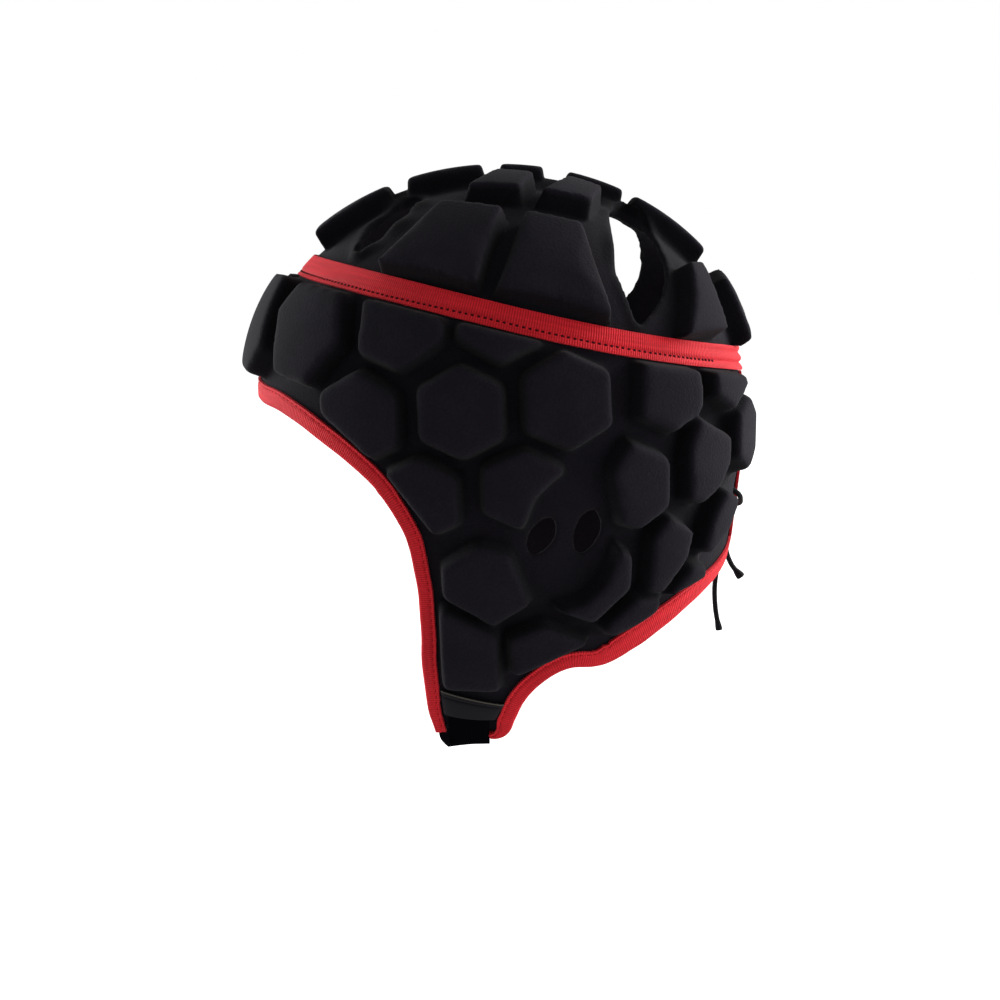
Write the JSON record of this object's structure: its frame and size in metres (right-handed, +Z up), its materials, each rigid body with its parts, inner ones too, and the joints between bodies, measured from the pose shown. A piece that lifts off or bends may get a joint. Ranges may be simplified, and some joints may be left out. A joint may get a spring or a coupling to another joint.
{
  "type": "padded rugby headguard",
  "caption": "Soft padded sports headguard: foam pads on a thin cloth shell with vents, ear slots, taped seam, bound rims, chin strap and a laced slit at the back.",
  "frame": {"origin": "inside top of the crown, where it sits on the head, on the midline", "axes": "+Z up along the head, -Y towards the face opening, +X towards the wearer's left ear"},
  "size_m": [0.1766, 0.2129, 0.2351],
  "materials": {
    "padding": "matt black stretch knit over moulded foam",
    "tape": "red ribbed woven tape",
    "cover": "smooth black fabric with a slight sheen",
    "webbing": "black woven webbing",
    "lace": "black round braided cord"
  },
  "bodies": {
    "root": {"crown_panel": "padding", "side_panel": "padding", "crown_band": "tape", "face_binding": "tape", "neck_binding_left": "tape", "neck_binding_right": "tape", "strap_cover_left": "cover", "strap_cover_right": "cover", "chin_strap": "webbing", "rear_lace": "lace", "lace_end_left": "lace", "lace_end_right": "lace"}
  },
  "joints": []
}
